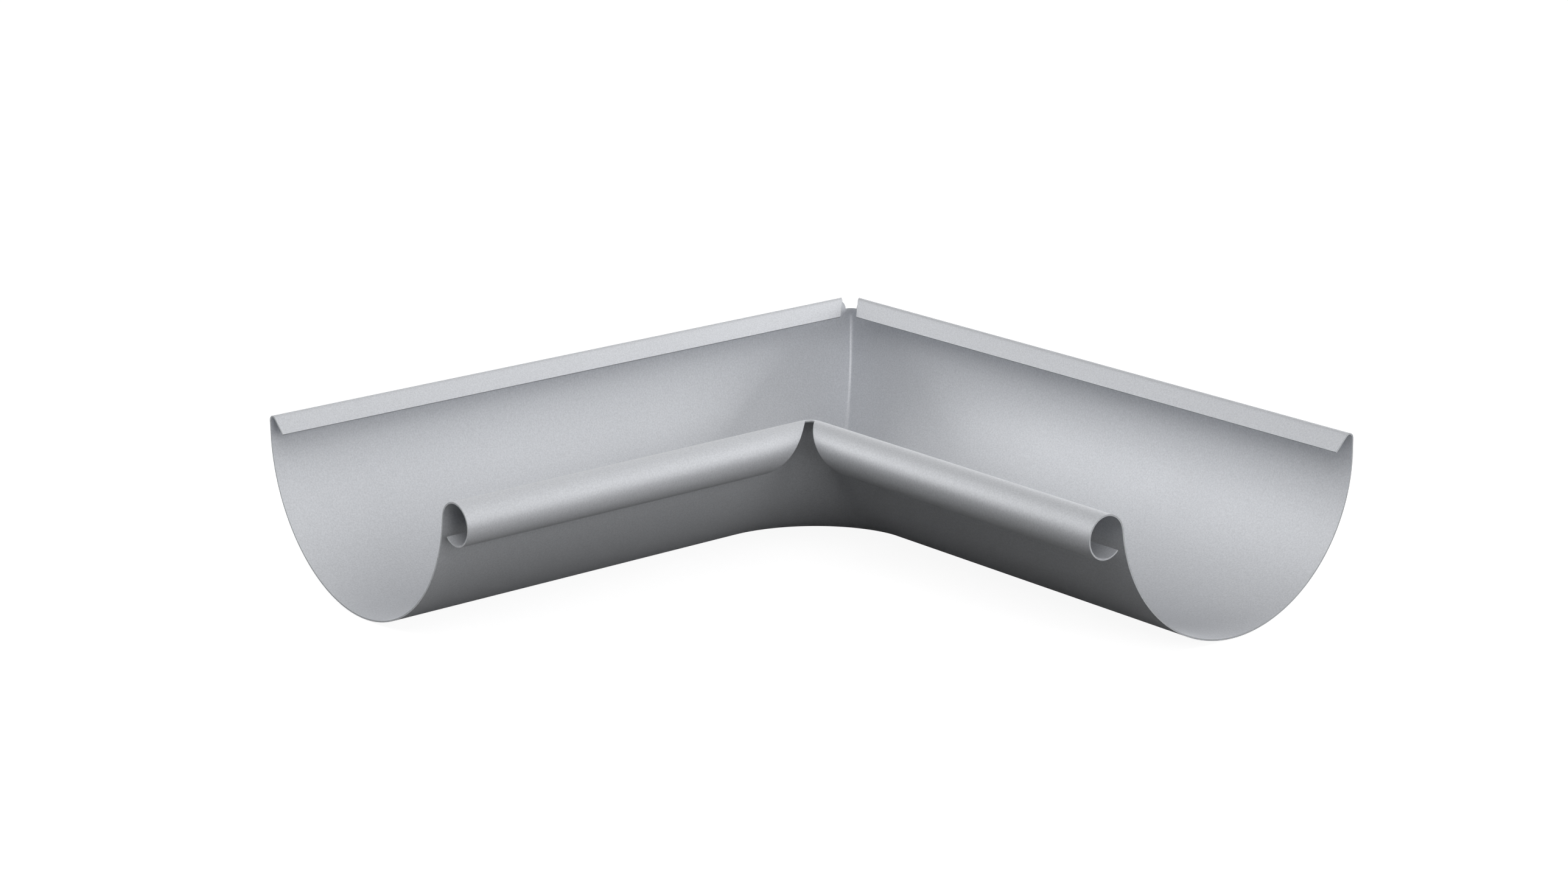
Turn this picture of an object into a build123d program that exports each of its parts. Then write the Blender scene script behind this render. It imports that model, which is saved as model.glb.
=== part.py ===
"""Internal gutter angle: a half-round gutter corner, pressed from one sheet.

Millimetres, +Z up. The trough centre lines of the two legs cross at the
origin and run along +X and -Y. Their backs, the higher edges, face +Y
and -X. The bottom of the trough stands on Z = 0.
"""
import math
import os

from build123d import *

# Sheet and trough
sheet = 0.8
trough_radius = 75.0
leg_length = 295.0

# Bead along the front edge
bead_radius = 10.7
bead_drop = 9.2
curl_end_angle = 223.0

# Upstand and water lip along the back edge
back_rise = 9.5
fold_radius = 3.0
lip_inset = 11.1
lip_tip_rise = 1.9

# Pressed corner
front_bend_radius = 3.3
crease_radius = 1.8
flare_height = 4.2
notch_depth = 7.4
notch_half_width = 3.0
lip_gap_half = 4.7

# Places that follow from the sizes above
outer_radius = trough_radius + sheet
axis_z = outer_radius
bead_z = axis_z - bead_drop
bead_offset = math.sqrt((trough_radius + bead_radius) ** 2 - bead_drop**2)
bend_axis = bead_offset + front_bend_radius
fold_z = axis_z + back_rise - fold_radius
notch_z = axis_z + back_rise - notch_depth

# How far a cutting shape reaches past what it cuts, and how close a curve's middle
# lies to the mitre it runs on
clear = 10 * sheet
overrun_angle = 10
fit_tolerance = sheet / 1000

# Angles in the section, counted from its back side towards the top
joint_angle = math.degrees(math.asin(bead_drop / (trough_radius + bead_radius)))
lip_run = trough_radius - lip_inset - (outer_radius - fold_radius)
lip_fall = axis_z + lip_tip_rise - fold_z
lip_bearing = math.degrees(math.atan2(lip_fall, lip_run)) % 360
lip_angle = lip_bearing - math.degrees(math.acos(fold_radius / math.hypot(lip_run, lip_fall)))

# Planes of the corner: where a leg ends and the front bend starts, and the mitre
bend_start = Plane.YZ.offset(bend_axis)
back_side = Plane.YZ.offset(-outer_radius)
mitre = Plane(origin=(0, 0, 0), x_dir=(1, -1, 0), z_dir=(1, 1, 0))
across_mitre = Plane(origin=(0, 0, 0), x_dir=(1, 1, 0), z_dir=(1, -1, 0))


def lip_lines():
    """Water lip and fold, from the free edge to the top of the upstand."""
    tip = (trough_radius - lip_inset, axis_z + lip_tip_rise)
    fold = CenterArc((outer_radius - fold_radius, fold_z), fold_radius, lip_angle, -lip_angle)
    Line(tip, fold @ 0)


def back_lines():
    """Upstand and the back quarter of the trough."""
    Line((outer_radius, fold_z), (outer_radius, axis_z))
    CenterArc((0, axis_z), outer_radius, 0, -90)


def front_lines():
    """Front quarter of the trough and the bend over the front edge, up to its top."""
    CenterArc((0, axis_z), outer_radius, -90, joint_angle - 90)
    CenterArc((-bead_offset, bead_z), bead_radius - sheet, joint_angle, 90 - joint_angle)


def curl_lines():
    """Rest of the bead, from its top round to the free edge."""
    CenterArc((-bead_offset, bead_z), bead_radius - sheet, 90, curl_end_angle)


def bent_sheet(plane, *stretches):
    """Section of the sheet: the line of its outer face, thickened towards the trough."""
    with BuildSketch(plane) as section:
        for stretch in stretches:
            with BuildLine():
                stretch()
                offset(amount=sheet, side=Side.RIGHT)
            make_face()
    return section.sketch


def bead_cut():
    """Twisted face of a bead's end: a 45 degree cut in the flat sheet, rolled up with it.

    It starts a little before the top of the bead and ends as far past the free edge.
    """
    overrun = math.radians(overrun_angle)
    neutral_radius = bead_radius - sheet / 2
    rise = neutral_radius * (math.radians(curl_end_angle) + 2 * overrun)
    pitch = 2 * math.pi * neutral_radius
    start = Plane(
        origin=(bend_axis - neutral_radius * overrun, -bead_offset, bead_z),
        x_dir=(0, math.sin(overrun), math.cos(overrun)),
        z_dir=(1, 0, 0),
    )
    inner_edge = Edge.make_helix(pitch, rise, bead_radius - 2 * sheet)
    outer_edge = Edge.make_helix(pitch, rise, bead_radius + sheet)
    return start.location * Face.make_surface_from_curves(inner_edge, outer_edge)


def corner_space(radius, crease, reach, top):
    """What lies inside one face of the sheet in the corner, its back crease rounded."""
    with BuildSketch(Plane.YZ.offset(-radius)) as side:
        with BuildLine():
            CenterArc((0, axis_z), radius, -90, 90)
            Polyline(
                (radius, axis_z),
                (radius, top),
                (-reach, top),
                (-reach, axis_z - radius),
                (0, axis_z - radius),
            )
        make_face()
    with BuildPart() as space:
        extrude(side.sketch, amount=radius + reach)
        mirror(about=mitre, mode=Mode.INTERSECT)
        creases = space.edges().filter_by(lambda edge: mitre.contains(edge.center(), fit_tolerance))
        fillet(creases.filter_by(lambda edge: edge.center().X < 0), crease)
        opened = crease + notch_half_width * math.sqrt(2) - crease_radius
        for z, rounding in ((notch_z - flare_height, crease), (notch_z, opened), (top, opened)):
            centre = radius - rounding
            with BuildSketch(Plane.XY.offset(z)):
                with BuildLine():
                    RadiusArc((-centre, radius), (-radius, centre), -rounding)
                    Polyline(
                        (-radius, centre),
                        (-radius - clear, centre),
                        (-radius - clear, radius + clear),
                        (-centre, radius + clear),
                        (-centre, radius),
                    )
                make_face()
        loft(ruled=True, mode=Mode.SUBTRACT)
    return space.part


# One leg: its section is straight from the cut end to the front bend
with BuildPart() as leg:
    extrude(
        bent_sheet(bend_start, lip_lines, back_lines, front_lines, curl_lines),
        amount=leg_length - bend_axis,
    )
    extrude(bead_cut(), amount=leg_length, dir=(-1, 0, 0), mode=Mode.SUBTRACT)

# Its lip runs on along the back, and stops square to the mitre
with BuildPart() as lip:
    extrude(bent_sheet(back_side, lip_lines), amount=outer_radius + bend_axis)
    split(bisect_by=mitre.offset(lip_gap_half), keep=Keep.TOP)

# Back of the corner: two trough quarters that meet in a rounded crease, and the
# flat bottom between them and the front bend
with BuildPart() as corner:
    add(corner_space(outer_radius, crease_radius + sheet, bend_axis, fold_z))
    add(
        corner_space(trough_radius, crease_radius, bend_axis + clear, fold_z + clear),
        mode=Mode.SUBTRACT,
    )
    with Locations((bend_axis, -bend_axis, 0)):
        Cylinder(bend_axis, clear, mode=Mode.SUBTRACT)
    with BuildSketch(across_mitre):
        with BuildLine():
            cheek = TangentArc((notch_half_width, notch_z), (lip_gap_half, fold_z), tangent=(0, 1))
            Line(cheek @ 1, (lip_gap_half, fold_z + clear))
            mirror(about=Plane.YZ)
            Line((-notch_half_width, notch_z), (notch_half_width, notch_z))
            Line((-lip_gap_half, fold_z + clear), (lip_gap_half, fold_z + clear))
        make_face()
    extrude(amount=-2 * outer_radius, mode=Mode.SUBTRACT)

# The sheet as pressed: the front of the section bends round the inside corner
with BuildPart() as gutter_angle:
    add(leg.part)
    add(lip.part)
    mirror(about=mitre)
    revolve(
        bent_sheet(bend_start, front_lines),
        axis=Axis((bend_axis, -bend_axis, 0), (0, 0, 1)),
        revolution_arc=90,
    )
    add(corner.part)

os.makedirs("parts", exist_ok=True)
gutter_angle.part.label = "gutter_angle"
export_step(gutter_angle.part, "parts/gutter_angle.step")
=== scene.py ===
# %% [markdown]
# # An internal gutter angle
# The object is the inside corner of a half-round rain gutter. It is one sheet of coated
# steel: cut flat, notched at both edges, pressed into a corner, and rolled into a bead
# along its front edge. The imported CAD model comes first, because everything after it is
# measured from it.

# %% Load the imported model
import math

import bpy
from mathutils import Matrix, Vector


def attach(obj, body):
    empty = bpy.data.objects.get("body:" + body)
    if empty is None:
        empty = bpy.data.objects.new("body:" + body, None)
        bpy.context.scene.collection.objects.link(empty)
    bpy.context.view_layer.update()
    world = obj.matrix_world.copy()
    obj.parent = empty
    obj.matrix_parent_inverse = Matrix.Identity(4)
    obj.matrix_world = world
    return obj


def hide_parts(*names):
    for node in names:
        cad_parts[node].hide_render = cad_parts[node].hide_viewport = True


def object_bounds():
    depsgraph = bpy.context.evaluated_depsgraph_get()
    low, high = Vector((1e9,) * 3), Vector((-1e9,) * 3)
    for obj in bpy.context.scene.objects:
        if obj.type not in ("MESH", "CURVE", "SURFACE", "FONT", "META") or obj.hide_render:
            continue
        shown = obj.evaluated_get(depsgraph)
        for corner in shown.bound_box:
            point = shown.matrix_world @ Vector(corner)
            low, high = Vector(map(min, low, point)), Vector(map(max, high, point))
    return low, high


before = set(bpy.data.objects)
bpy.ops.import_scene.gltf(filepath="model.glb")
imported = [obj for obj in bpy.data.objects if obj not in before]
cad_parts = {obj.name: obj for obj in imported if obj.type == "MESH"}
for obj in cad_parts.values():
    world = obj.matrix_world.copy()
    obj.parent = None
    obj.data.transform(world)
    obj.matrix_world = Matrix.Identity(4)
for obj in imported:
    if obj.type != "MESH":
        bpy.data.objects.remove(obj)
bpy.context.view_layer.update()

# %% [markdown]
# ## Sizes
# These are the sizes of the real sheet in millimetres, the same as in the part's source.
# Blender works in metres, so each one is multiplied by `mm` where it is used.

# %% Sizes of the sheet
mm = 0.001
sheet = 0.8
trough_radius = 75.0
leg_length = 295.0
bead_radius = 10.7
bead_drop = 9.2
curl_end_angle = 223.0
back_rise = 9.5
fold_radius = 3.0
lip_inset = 11.1
lip_tip_rise = 1.9
front_bend_radius = 3.3
crease_radius = 1.8
flare_height = 4.2
notch_depth = 7.4
notch_half_width = 3.0
lip_gap_half = 4.7

outer_radius = trough_radius + sheet
axis_z = outer_radius
bead_z = axis_z - bead_drop
bead_offset = math.sqrt((trough_radius + bead_radius) ** 2 - bead_drop**2)
bend_axis = bead_offset + front_bend_radius
fold_z = axis_z + back_rise - fold_radius
notch_z = axis_z + back_rise - notch_depth
print("bead centre, across and up:", round(bead_offset, 2), round(bead_z, 2))

# %% [markdown]
# ## The seam line
# A pressed corner follows a simple rule. Every line along the sheet runs straight down one
# leg, turns through a quarter circle, and runs straight down the other leg. Only the radius
# of the turn changes. It is tight in the back crease, grows across the flat bottom, and on
# the front it is the distance from one upright axis.
#
# So the whole shape can be told by one line: the seam where the first leg ends and its turn
# begins. It could be drawn as a curve by hand, but the section is made of straight runs and
# arcs with known sizes, so it is worked out point by point, from the tip of the water lip
# to the free edge of the bead. Each point holds how far along the leg the turn starts, how
# far across it lies, and its height.

# %% Helpers for the seam line
seam = []
notched = []
same_point = 0.001 * mm


def steps(first, last, count):
    """Evenly spaced numbers from first to last, both included."""
    return [first + (last - first) * i / count for i in range(count + 1)]


def on_circle(across, height, radius, angle):
    """A point of a section arc, with the angle in degrees from the back side."""
    turn = math.radians(angle)
    return across + radius * math.cos(turn), height + radius * math.sin(turn)


def add_point(start, across, height, cut=False):
    """One point of the seam. Cut is true where the sheet is cut away in the corner.

    A point that repeats the last one isn't added again.
    """
    point = Vector((start, across, height)) * mm
    if seam and (point - seam[-1]).length < same_point:
        notched[-1] = notched[-1] or cut
        return
    seam.append(point)
    notched.append(cut)


print("top of the back edge:", [round(v, 2) for v in on_circle(0, axis_z, outer_radius, 0)])

# %% [markdown]
# ## Water lip and fold
# Along the back edge the sheet is folded inwards and down, so that water can't blow over.
# In the corner this edge is notched, or the two lips would collide when the corner is
# pressed. The notch has upright cheeks that lean apart, and the lips end square to the mitre.
#
# The notch could be cut out of the finished corner with a Boolean, but that leaves ragged
# faces. Here each point of the seam says how far from the mitre its line stops.

# %% Slope of the lip and lean of the cheeks
tip_across, tip_height = trough_radius - lip_inset, axis_z + lip_tip_rise
fold_across = outer_radius - fold_radius
run, fall = tip_across - fold_across, tip_height - fold_z
lip_bearing = math.degrees(math.atan2(fall, run)) % 360
lip_angle = lip_bearing - math.degrees(math.acos(fold_radius / math.hypot(run, fall)))
cheek_run = lip_gap_half - notch_half_width
cheek_rise = fold_z - notch_z
cheek_radius = (cheek_run**2 + cheek_rise**2) / (2 * cheek_run)
print("lip slope:", round(lip_angle, 1), "cheek radius:", round(cheek_radius, 2))


# %% Seam of the lip, the fold and the notch
def beside_mitre(half_gap, across, normal):
    """Where a line starts along the leg, with its inner face half_gap away from the mitre."""
    return math.sqrt(2) * half_gap - (across - sheet * math.cos(math.radians(normal)))


def cheek_gap(height):
    """Half the width of the notch at a height. Its cheeks lean apart on arcs."""
    up = min(height - notch_z, cheek_rise)
    return notch_half_width + cheek_radius - math.sqrt(cheek_radius**2 - up**2)


lip_steps, fold_steps, cheek_steps = 6, 24, 8
fold_start = on_circle(fold_across, fold_z, fold_radius, lip_angle)
for t in steps(0, 1, lip_steps):
    across = tip_across + (fold_start[0] - tip_across) * t
    height = tip_height + (fold_start[1] - tip_height) * t
    add_point(beside_mitre(lip_gap_half, across, lip_angle), across, height, cut=True)
for angle in steps(lip_angle, 0, fold_steps):
    across, height = on_circle(fold_across, fold_z, fold_radius, angle)
    add_point(beside_mitre(lip_gap_half, across, angle), across, height, cut=True)
for height in steps(fold_z, notch_z, cheek_steps):
    start = beside_mitre(cheek_gap(height), outer_radius, 0)
    add_point(start, outer_radius, height, cut=True)
print("points so far:", len(seam))

# %% [markdown]
# ## Back of the trough
# Below the notch the two backs meet in a rounded crease. Just under the notch the crease
# opens into a small flare, because the press has to lead the metal into the notch.

# %% Seam of the upstand and the back quarter
open_radius = math.sqrt(2) * notch_half_width
bottom_radius = 6.0


def crease_start(across, height, slope):
    """Where the turn starts beside the crease. The flare eases in and out."""
    inner_radius = crease_radius * slope + bottom_radius * (1 - slope) ** 2
    rise = min(max((height - notch_z + flare_height) / flare_height, 0), 1)
    eased = rise * rise * (3 - 2 * rise)
    return inner_radius + (open_radius - inner_radius) * eased - (across - sheet * slope)


upstand_steps, back_steps = 6, 80
for height in steps(notch_z, axis_z, upstand_steps):
    add_point(crease_start(outer_radius, height, 1), outer_radius, height)
for angle in steps(0, -90, back_steps):
    across, height = on_circle(0, axis_z, outer_radius, angle)
    add_point(crease_start(across, height, math.cos(math.radians(angle))), across, height)
print("points so far:", len(seam), "flare widens to", round(open_radius, 2))

# %% [markdown]
# ## Bottom, front and bead
# The bottom of the corner is flat. There the turn grows to the distance of the front bend,
# within a strip only 3 degrees of the trough wide. A strip of no width would be simpler,
# but along the legs its faces would have no area and could not be thickened.
#
# On the front the seam lies in one plane, where the bend starts. The bead's edge of the
# flat sheet was cut off at 45 degrees, so its seam moves away from the corner by as much
# as the sheet has curled.

# %% Seam of the bottom, the front and the bead
joint_angle = math.degrees(math.asin(bead_drop / (trough_radius + bead_radius)))
strip = 3.0
strip_steps, front_steps, edge_steps, curl_steps = 16, 76, 20, 64
for t in steps(0, 1, strip_steps):
    across, height = on_circle(0, axis_z, outer_radius, -90 - strip * t)
    add_point(bottom_radius + (bend_axis - bottom_radius) * t, across, height)
for angle in steps(-90 - strip, joint_angle - 180, front_steps):
    add_point(bend_axis, *on_circle(0, axis_z, outer_radius, angle))
for angle in steps(joint_angle, 90, edge_steps):
    add_point(bend_axis, *on_circle(-bead_offset, bead_z, bead_radius - sheet, angle))
for angle in steps(90, 90 + curl_end_angle, curl_steps):
    setback = (bead_radius - sheet / 2) * math.radians(angle - 90)
    across, height = on_circle(-bead_offset, bead_z, bead_radius - sheet, angle)
    add_point(bend_axis + setback, across, height, cut=True)
print("seam points:", len(seam), "of which notched:", sum(notched))

# %% The seam line as a mesh of points and edges
seam_mesh = bpy.data.meshes.new("seam_line")
links = [(i, i + 1) for i in range(len(seam) - 1)]
seam_mesh.from_pydata([tuple(point) for point in seam], links, [])
flag = seam_mesh.attributes.new("notched", "BOOLEAN", "POINT")
flag.data.foreach_set("value", notched)
seam_line = bpy.data.objects.new("seam_line", seam_mesh)
bpy.context.scene.collection.objects.link(seam_line)
print("seam edges:", len(seam_mesh.edges))

# %% [markdown]
# ## The rule as Geometry Nodes
# The sheet could be modelled face by face, but a rule is better kept as a rule: when a size
# changes, the whole corner follows. The tree starts with a flat grid, which is the blank.
# Its rows are the points of the seam and its columns run from one cut end to the other.
# First the two notches are cut out of the blank. Then each row takes its place on the seam,
# turns round its own upright axis in the corner, and runs straight along the leg. Columns
# with a negative number are mirrored at the mitre.

# %% One function that adds a node
def add_node(tree, kind, inputs=None, **settings):
    """Adds a node with its settings. Each input is a plain value or another node's output."""
    node = tree.nodes.new(kind)
    for name, value in settings.items():
        setattr(node, name, value)
    for socket, value in (inputs or {}).items():
        if isinstance(value, bpy.types.NodeSocket):
            tree.links.new(value, node.inputs[socket])
        else:
            node.inputs[socket].default_value = value
    return node


# %% Inputs of the tree
press = bpy.data.node_groups.new("pressed_corner", "GeometryNodeTree")
press.interface.new_socket("Seam", in_out="INPUT", socket_type="NodeSocketGeometry")
press.interface.new_socket("Sheet", in_out="OUTPUT", socket_type="NodeSocketGeometry")
for name, kind in (
    ("Leg length", "NodeSocketFloat"),
    ("Columns in the turn", "NodeSocketInt"),
    ("Columns on a leg", "NodeSocketInt"),
    ("Sheet thickness", "NodeSocketFloat"),
    ("Coating", "NodeSocketMaterial"),
    ("Cut edge", "NodeSocketMaterial"),
):
    press.interface.new_socket(name, in_out="INPUT", socket_type=kind)
given = add_node(press, "NodeGroupInput")
print("inputs:", [s.name for s in press.interface.items_tree if s.in_out == "INPUT"])

# %% The flat blank, with a whole number for each row and column
points = add_node(
    press, "GeometryNodeAttributeDomainSize", {"Geometry": given.outputs["Seam"]}, component="MESH"
)
rows = points.outputs["Point Count"]
last_row = add_node(press, "ShaderNodeMath", {0: rows, 1: 1.0}, operation="SUBTRACT")
half_columns = add_node(
    press,
    "ShaderNodeMath",
    {0: given.outputs["Columns in the turn"], 1: given.outputs["Columns on a leg"]},
    operation="ADD",
)
all_columns = add_node(
    press, "ShaderNodeMath", {0: half_columns.outputs[0], 1: 2.0}, operation="MULTIPLY"
)
column_points = add_node(
    press, "ShaderNodeMath", {0: all_columns.outputs[0], 1: 1.0}, operation="ADD"
)
blank = add_node(
    press,
    "GeometryNodeMeshGrid",
    {
        "Size X": all_columns.outputs[0],
        "Size Y": last_row.outputs[0],
        "Vertices X": column_points.outputs[0],
        "Vertices Y": rows,
    },
)
position = add_node(press, "GeometryNodeInputPosition").outputs[0]
place = add_node(press, "ShaderNodeSeparateXYZ", {0: position})
column = add_node(press, "ShaderNodeMath", {0: place.outputs["X"]}, operation="ABSOLUTE")
half_rows = add_node(
    press, "ShaderNodeMath", {0: last_row.outputs[0], 1: 2.0}, operation="DIVIDE"
)
row = add_node(
    press, "ShaderNodeMath", {0: place.outputs["Y"], 1: half_rows.outputs[0]}, operation="ADD"
)
row_number = add_node(press, "ShaderNodeMath", {0: row.outputs[0]}, operation="ROUND")
print("nodes that make the blank:", len(press.nodes))

# %% Cut the notches out of the blank
flag_field = add_node(
    press, "GeometryNodeInputNamedAttribute", {"Name": "notched"}, data_type="BOOLEAN"
)
flag_here = add_node(
    press,
    "GeometryNodeSampleIndex",
    {
        "Geometry": given.outputs["Seam"],
        "Value": flag_field.outputs["Attribute"],
        "Index": row_number.outputs[0],
    },
    data_type="BOOLEAN",
)
marked = add_node(
    press,
    "GeometryNodeStoreNamedAttribute",
    {"Geometry": blank.outputs["Mesh"], "Name": "notched", "Value": flag_here.outputs[0]},
    data_type="BOOLEAN",
    domain="POINT",
)
in_turn = add_node(
    press,
    "FunctionNodeCompare",
    {0: column.outputs[0], 1: given.outputs["Columns in the turn"]},
    data_type="FLOAT",
    operation="LESS_THAN",
)
waste = add_node(
    press,
    "FunctionNodeBooleanMath",
    {0: in_turn.outputs[0], 1: flag_field.outputs["Attribute"]},
    operation="AND",
)
notched_blank = add_node(
    press,
    "GeometryNodeDeleteGeometry",
    {"Geometry": marked.outputs[0], "Selection": waste.outputs[0]},
    domain="FACE",
)
print("nodes with the notches:", len(press.nodes))

# %% Turn each row in the corner and run it along the leg
seam_here = add_node(
    press,
    "GeometryNodeSampleIndex",
    {
        "Geometry": given.outputs["Seam"],
        "Value": position,
        "Index": row_number.outputs[0],
    },
    data_type="FLOAT_VECTOR",
)
start = add_node(press, "ShaderNodeSeparateXYZ", {0: seam_here.outputs[0]}).outputs["X"]
turn = add_node(
    press,
    "ShaderNodeMapRange",
    {
        "Value": column.outputs[0],
        "From Max": given.outputs["Columns in the turn"],
        "To Min": math.pi / 4,
        "To Max": 0.0,
    },
)
behind = add_node(press, "ShaderNodeMath", {0: start, 1: -1.0}, operation="MULTIPLY")
turn_axis = add_node(press, "ShaderNodeCombineXYZ", {"X": start, "Y": behind.outputs[0]})
turned = add_node(
    press,
    "ShaderNodeVectorRotate",
    {"Vector": seam_here.outputs[0], "Center": turn_axis.outputs[0], "Angle": turn.outputs[0]},
    rotation_type="Z_AXIS",
)
leg_run = add_node(
    press, "ShaderNodeMath", {0: given.outputs["Leg length"], 1: start}, operation="SUBTRACT"
)
along = add_node(
    press,
    "ShaderNodeMapRange",
    {
        "Value": column.outputs[0],
        "From Min": given.outputs["Columns in the turn"],
        "From Max": half_columns.outputs[0],
        "To Max": leg_run.outputs[0],
    },
)
along_leg = add_node(press, "ShaderNodeCombineXYZ", {"X": along.outputs[0]})
on_leg = add_node(
    press, "ShaderNodeVectorMath", {0: turned.outputs[0], 1: along_leg.outputs[0]}, operation="ADD"
)
print("nodes with the turn and the leg:", len(press.nodes))

# %% Mirror the other half, and weld what meets
weld = 0.002 * mm
mirrored = add_node(
    press, "ShaderNodeVectorMath", {0: on_leg.outputs[0], 1: (1.0, 1.0, 0.0)}, operation="REFLECT"
)
other_half = add_node(
    press,
    "FunctionNodeCompare",
    {0: place.outputs["X"], 1: 0.0},
    data_type="FLOAT",
    operation="LESS_THAN",
)
pressed_place = add_node(
    press,
    "GeometryNodeSwitch",
    {0: other_half.outputs[0], "False": on_leg.outputs[0], "True": mirrored.outputs[0]},
    input_type="VECTOR",
)
pressed = add_node(
    press,
    "GeometryNodeSetPosition",
    {"Geometry": notched_blank.outputs[0], "Position": pressed_place.outputs[0]},
)
welded = add_node(
    press, "GeometryNodeMergeByDistance", {"Geometry": pressed.outputs[0], "Distance": weld}
)
print("nodes with the other half:", len(press.nodes))

# %% Give the sheet its thickness and finishes, and end the tree
inwards = add_node(
    press, "ShaderNodeMath", {0: given.outputs["Sheet thickness"], 1: -1.0}, operation="MULTIPLY"
)
inner_face = add_node(
    press,
    "GeometryNodeExtrudeMesh",
    {"Mesh": welded.outputs[0], "Offset Scale": inwards.outputs[0], "Individual": False},
    mode="FACES",
)
turned_round = add_node(press, "GeometryNodeFlipFaces", {"Mesh": inner_face.outputs["Mesh"]})
both_faces = add_node(press, "GeometryNodeJoinGeometry")
press.links.new(welded.outputs[0], both_faces.inputs[0])
press.links.new(turned_round.outputs[0], both_faces.inputs[0])
closed = add_node(
    press, "GeometryNodeMergeByDistance", {"Geometry": both_faces.outputs[0], "Distance": weld}
)
smooth = add_node(press, "GeometryNodeSetShadeSmooth", {"Geometry": closed.outputs[0]})
real = add_node(press, "GeometryNodeRealizeInstances", {"Geometry": smooth.outputs[0]})
coated = add_node(
    press,
    "GeometryNodeSetMaterial",
    {"Geometry": real.outputs[0], "Material": given.outputs["Coating"]},
)
edged = add_node(
    press,
    "GeometryNodeSetMaterial",
    {
        "Geometry": coated.outputs[0],
        "Selection": inner_face.outputs["Side"],
        "Material": given.outputs["Cut edge"],
    },
)
add_node(press, "NodeGroupOutput", {0: edged.outputs[0]})
print("nodes in the tree:", len(press.nodes))

# %% [markdown]
# ## The coating
# The sheet is coil-coated steel: galvanised strip with a silver-grey paint baked on before
# it is formed. The paint holds fine metal flakes, so the surface is satin, with a grain
# that the eye just catches, and no sharp reflections.
#
# It could be a bare metal shader, but the paint's binder scatters most of the light. So it
# is a quarter metal and the rest paint. The quarter is what draws the bright line along the
# crease, where the rounded sheet mirrors the light in front of it.

# %% Colours
def linear(hex_colour):
    """An sRGB hex colour as the linear numbers that a shader wants."""
    parts = [int(hex_colour[i : i + 2], 16) / 255 for i in (1, 3, 5)]
    return (*[c / 12.92 if c <= 0.04045 else ((c + 0.055) / 1.055) ** 2.4 for c in parts], 1.0)


grain_dark = "#C8CACE"
grain_light = "#D8DADE"
steel_dark = "#A0A2A5"
steel_light = "#B4B6B9"
for shade in (grain_dark, grain_light, steel_dark, steel_light):
    print(shade, "linear:", [round(c, 3) for c in linear(shade)[:3]])

# %% Coil-coated steel
ramp_start, ramp_end = 0.3, 0.7
coating = bpy.data.materials.new("coil_coated_steel")
coating.use_nodes = True
paint = coating.node_tree
shader = paint.nodes["Principled BSDF"]
shader.inputs["IOR"].default_value = 1.5
shader.inputs["Specular IOR Level"].default_value = 0.35
shader.inputs["Metallic"].default_value = 0.25
here = add_node(paint, "ShaderNodeTexCoord").outputs["Object"]

# The flakes are 0.03 mm wide, too fine to show, so the grain is drawn 0.8 mm wide.
grain_width = 0.8 * mm
grain = add_node(
    paint, "ShaderNodeTexNoise", {"Vector": here, "Scale": 1 / grain_width, "Detail": 2.0}
)
colour = add_node(paint, "ShaderNodeValToRGB", {"Fac": grain.outputs["Fac"]})
colour.color_ramp.elements[0].position = ramp_start
colour.color_ramp.elements[0].color = linear(grain_dark)
colour.color_ramp.elements[1].position = ramp_end
colour.color_ramp.elements[1].color = linear(grain_light)
paint.links.new(colour.outputs["Color"], shader.inputs["Base Color"])

# The rollers leave the paint a little glossier in patches about 60 mm wide.
patch_width = 60 * mm
patches = add_node(
    paint, "ShaderNodeTexNoise", {"Vector": here, "Scale": 1 / patch_width, "Detail": 1.0}
)
gloss = add_node(
    paint, "ShaderNodeMapRange", {"Value": patches.outputs["Fac"], "To Min": 0.42, "To Max": 0.5}
)
paint.links.new(gloss.outputs[0], shader.inputs["Roughness"])

# Paint dries with a faint orange peel, 1.5 mm wide and 2 thousandths of a millimetre high.
peel_width = 1.5 * mm
peel_height = 0.002 * mm
peel = add_node(
    paint, "ShaderNodeTexNoise", {"Vector": here, "Scale": 1 / peel_width, "Detail": 1.0}
)
bump = add_node(
    paint,
    "ShaderNodeBump",
    {"Strength": 1.0, "Distance": peel_height, "Height": peel.outputs["Fac"]},
)
paint.links.new(bump.outputs[0], shader.inputs["Normal"])
print("coating nodes:", len(paint.nodes))

# %% [markdown]
# ## The cut edges
# Where the sheet was sheared, the paint ends and the steel core shows, with its zinc
# smeared over it. It is a dull bare metal, darker than the coating. It could be left the
# colour of the sheet, but the thin dark outline is what makes the eye read sheet metal.

# %% Sheared steel
sheared = bpy.data.materials.new("sheared_galvanised_steel")
sheared.use_nodes = True
steel = sheared.node_tree
steel_shader = steel.nodes["Principled BSDF"]
steel_shader.inputs["Metallic"].default_value = 1.0
steel_here = add_node(steel, "ShaderNodeTexCoord").outputs["Object"]

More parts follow.
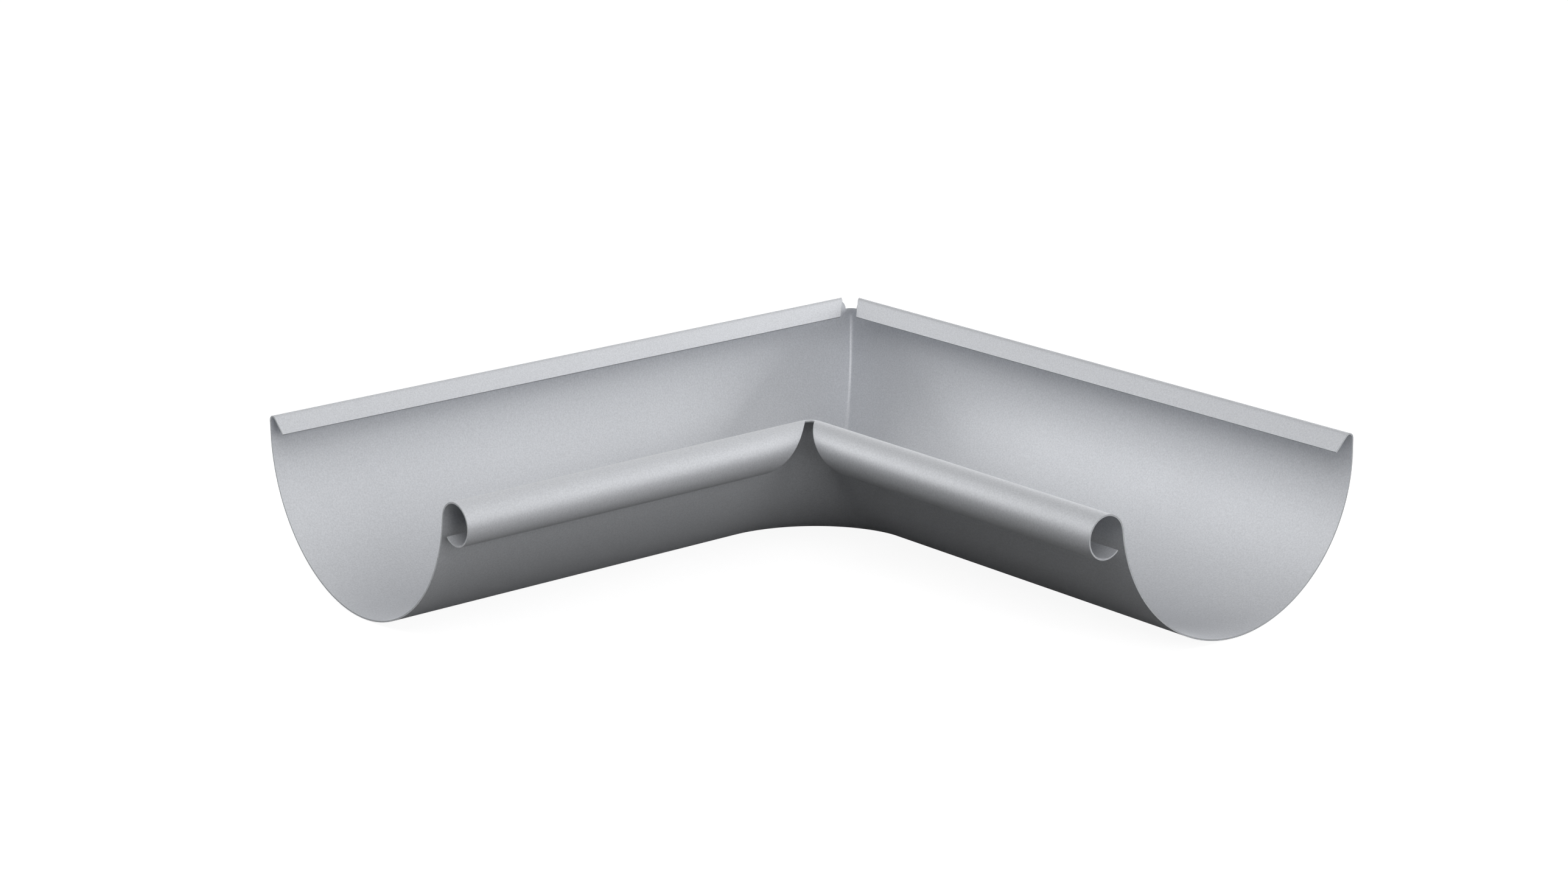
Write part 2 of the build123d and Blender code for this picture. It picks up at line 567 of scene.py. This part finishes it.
# Shearing leaves fine lines across the sheet, about 0.3 mm apart.
shear_pitch = 0.3 * mm
lines = add_node(
    steel, "ShaderNodeTexNoise", {"Vector": steel_here, "Scale": 1 / shear_pitch, "Detail": 1.0}
)
steel_colour = add_node(steel, "ShaderNodeValToRGB", {"Fac": lines.outputs["Fac"]})
steel_colour.color_ramp.elements[0].position = ramp_start
steel_colour.color_ramp.elements[0].color = linear(steel_dark)
steel_colour.color_ramp.elements[1].position = ramp_end
steel_colour.color_ramp.elements[1].color = linear(steel_light)
steel_gloss = add_node(
    steel, "ShaderNodeMapRange", {"Value": lines.outputs["Fac"], "To Min": 0.5, "To Max": 0.65}
)
steel.links.new(steel_colour.outputs["Color"], steel_shader.inputs["Base Color"])
steel.links.new(steel_gloss.outputs[0], steel_shader.inputs["Roughness"])
print("sheared steel nodes:", len(steel.nodes))

# %% [markdown]
# ## Press the sheet
# The seam line gets the tree as a modifier, with its inputs set, and the result is made a
# plain mesh. A grid starts with an empty material slot, which is taken out. Corners
# sharper than 40 degrees, which are only those of the cut edges, stay sharp in the shading.

# %% Press the sheet
forming = seam_line.modifiers.new("pressed_corner", "NODES")
forming.node_group = press
values = {
    "Leg length": leg_length * mm,
    "Columns in the turn": 18,
    "Columns on a leg": 12,
    "Sheet thickness": sheet * mm,
    "Coating": coating,
    "Cut edge": sheared,
}
for socket in press.interface.items_tree:
    if socket.name in values:
        forming[socket.identifier] = values[socket.name]

sharp_from = 40
evaluated = seam_line.evaluated_get(bpy.context.evaluated_depsgraph_get())
gutter_mesh = bpy.data.meshes.new_from_object(evaluated)
gutter_mesh.name = "gutter_sheet"
bpy.data.objects.remove(seam_line)
if gutter_mesh.materials[0] is None:
    gutter_mesh.materials.pop(index=0)
gutter_mesh.attributes.remove(gutter_mesh.attributes["notched"])
gutter_mesh.set_sharp_from_angle(angle=math.radians(sharp_from))
gutter = bpy.data.objects.new("gutter_sheet", gutter_mesh)
bpy.context.scene.collection.objects.link(gutter)
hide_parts("gutter_angle")
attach(gutter, "root")
low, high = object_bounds()
edge_faces = sum(face.material_index == 1 for face in gutter_mesh.polygons)
print("finishes:", [finish.name for finish in gutter_mesh.materials])
print("faces of the cut edge:", edge_faces)
print("faces:", len(gutter_mesh.polygons), "box:", [round(v, 4) for v in (*low, *high)])

# %% [markdown]
# ## Camera
# A long lens, about 1.9 m away, looks down at the corner by 16 degrees from the open side.
# The camera could be aimed at the corner and turned by eye. Here its directions and its
# place are the ones that put the corner's outline where it lies in the picture.

# %% Camera
sight = Vector((-0.75115, 0.59964, -0.27607)).normalized()
camera_right = Vector((0.62690, 0.77898, -0.01374)).normalized()
camera_up = camera_right.cross(sight)
camera_data = bpy.data.cameras.new("camera")
camera_data.sensor_width = 36
camera_data.lens = 83.10
camera = bpy.data.objects.new("camera", camera_data)
camera.matrix_world = Matrix((camera_right, camera_up, -sight)).transposed().to_4x4()
camera.location = Vector((1414.03, -1162.69, 558.02)) * mm
bpy.context.scene.collection.objects.link(camera)
bpy.context.scene.camera = camera
bpy.context.scene.view_settings.view_transform = "Standard"
print("camera:", [round(v, 3) for v in camera.location])

# %% [markdown]
# ## Floor and surroundings
# The floor is plain white paper. The camera sees it as white, through the Light Path node,
# with a faint shadow under the object, and reflections see the same paper as the lamps
# light it. For all other rays it is dark, because a pale floor throws so much light upwards
# that the shaded underside of a gutter goes flat. More light on a pale floor would be
# simpler, but it would also bleach the sheet.
#
# The world is a dark room that adds no light of its own, with a white backdrop for the
# camera and for reflections.

# %% Which rays see the white background
def sees_background(tree):
    """1 for a ray from the camera, a reflection or a transmission, else 0."""
    rays = add_node(tree, "ShaderNodeLightPath")
    direct = add_node(
        tree,
        "ShaderNodeMath",
        {0: rays.outputs["Is Camera Ray"], 1: rays.outputs["Is Glossy Ray"]},
        operation="MAXIMUM",
    )
    any_of_them = add_node(
        tree,
        "ShaderNodeMath",
        {0: direct.outputs[0], 1: rays.outputs["Is Transmission Ray"]},
        operation="MAXIMUM",
    )
    return any_of_them.outputs[0]


print("rays that see the background: camera, reflection, transmission")

# %% Floor
half_floor = 6.0
floor_gap = 0.5 * mm
floor_corners = [
    (x * half_floor, y * half_floor, -floor_gap)
    for x, y in ((-1, -1), (1, -1), (1, 1), (-1, 1))
]
floor_mesh = bpy.data.meshes.new("floor")
floor_mesh.from_pydata(floor_corners, [], [(0, 1, 2, 3)])
floor = bpy.data.objects.new("floor", floor_mesh)
bpy.context.scene.collection.objects.link(floor)
print("floor, metres across:", 2 * half_floor)

# %% Paper of the floor
white_paper = bpy.data.materials.new("white_paper")
white_paper.use_nodes = True
paper = white_paper.node_tree
paper.nodes.clear()
dark_side = add_node(paper, "ShaderNodeBsdfDiffuse", {"Color": linear("#262626")})
pale_side = add_node(paper, "ShaderNodeBsdfDiffuse", {"Color": linear("#DCDCDC")})

# The camera's white is nearly all glow. The grey adds the rest, and is what a shadow takes away.
paper_glow = 0.92
glow = add_node(
    paper, "ShaderNodeEmission", {"Color": linear("#FFFFFF"), "Strength": paper_glow}
)
shadow_side = add_node(paper, "ShaderNodeBsdfDiffuse", {"Color": linear("#9A9A9A")})
white_side = add_node(
    paper, "ShaderNodeAddShader", {0: glow.outputs[0], 1: shadow_side.outputs[0]}
)
for_reflections = add_node(
    paper,
    "ShaderNodeMixShader",
    {0: sees_background(paper), 1: dark_side.outputs[0], 2: pale_side.outputs[0]},
)
camera_ray = add_node(paper, "ShaderNodeLightPath").outputs["Is Camera Ray"]
floor_look = add_node(
    paper,
    "ShaderNodeMixShader",
    {0: camera_ray, 1: for_reflections.outputs[0], 2: white_side.outputs[0]},
)
add_node(paper, "ShaderNodeOutputMaterial", {"Surface": floor_look.outputs[0]})
floor_mesh.materials.append(white_paper)
print("paper nodes:", len(paper.nodes))

# %% World
world = bpy.data.worlds.new("studio")
bpy.context.scene.world = world
world.use_nodes = True
sky = world.node_tree
sky.nodes.clear()
dark_room = add_node(
    sky, "ShaderNodeBackground", {"Color": linear("#FFFFFF"), "Strength": 0.0}
)
backdrop = add_node(sky, "ShaderNodeBackground", {"Color": linear("#FFFFFF"), "Strength": 1.0})
sky_look = add_node(
    sky,
    "ShaderNodeMixShader",
    {0: sees_background(sky), 1: dark_room.outputs[0], 2: backdrop.outputs[0]},
)
add_node(sky, "ShaderNodeOutputWorld", {0: sky_look.outputs[0]})
print("world nodes:", len(sky.nodes))

# %% [markdown]
# ## Soft boxes
# The object is lit by six square area lamps of the kind that a product studio hangs round
# a table. Three stand behind it, two on the left and one on the right, and light the lips
# and the tops of the beads. Two are high, over the camera and to its left: they reach into
# the trough, and leave the front wall in the shade of its own bead. One low box in front
# keeps the shaded sides readable.
#
# Two large lamps would be simpler, but a half-round trough faces every way at once, and
# only light from several sides shows its curve. Each box is placed by its angle from the
# camera.

# %% Soft boxes
box_aim = Vector((100, -100, 40)) * mm
box_distance = 2.0
box_width = 1.2
to_camera = camera.location - box_aim


def soft_box(name, round_from_camera, elevation, watts):
    """A square lamp that faces the object, its angles in degrees, round from the camera and up."""
    bearing = math.atan2(to_camera.y, to_camera.x) + math.radians(round_from_camera)
    height = math.radians(elevation)
    level = math.cos(height)
    outwards = Vector(
        (math.cos(bearing) * level, math.sin(bearing) * level, math.sin(height))
    )
    lamp = bpy.data.lights.new(name, "AREA")
    lamp.size = box_width
    lamp.energy = watts
    box = bpy.data.objects.new(name, lamp)
    box.location = box_aim + outwards * box_distance
    box.rotation_euler = (-outwards).to_track_quat("-Z", "Y").to_euler()
    bpy.context.scene.collection.objects.link(box)
    print(name, [round(v, 2) for v in box.location])


# Name, degrees to the right of the camera, degrees up, watts
soft_box("box_over_camera", 0, 52, 9.4)
soft_box("box_low_front", 30, 12, 14.4)
soft_box("box_high_left", -60, 52, 4.1)
soft_box("box_back_left", -120, 32, 3.7)
soft_box("box_low_left", -120, 12, 13.1)
soft_box("box_low_right", 120, 12, 52.7)
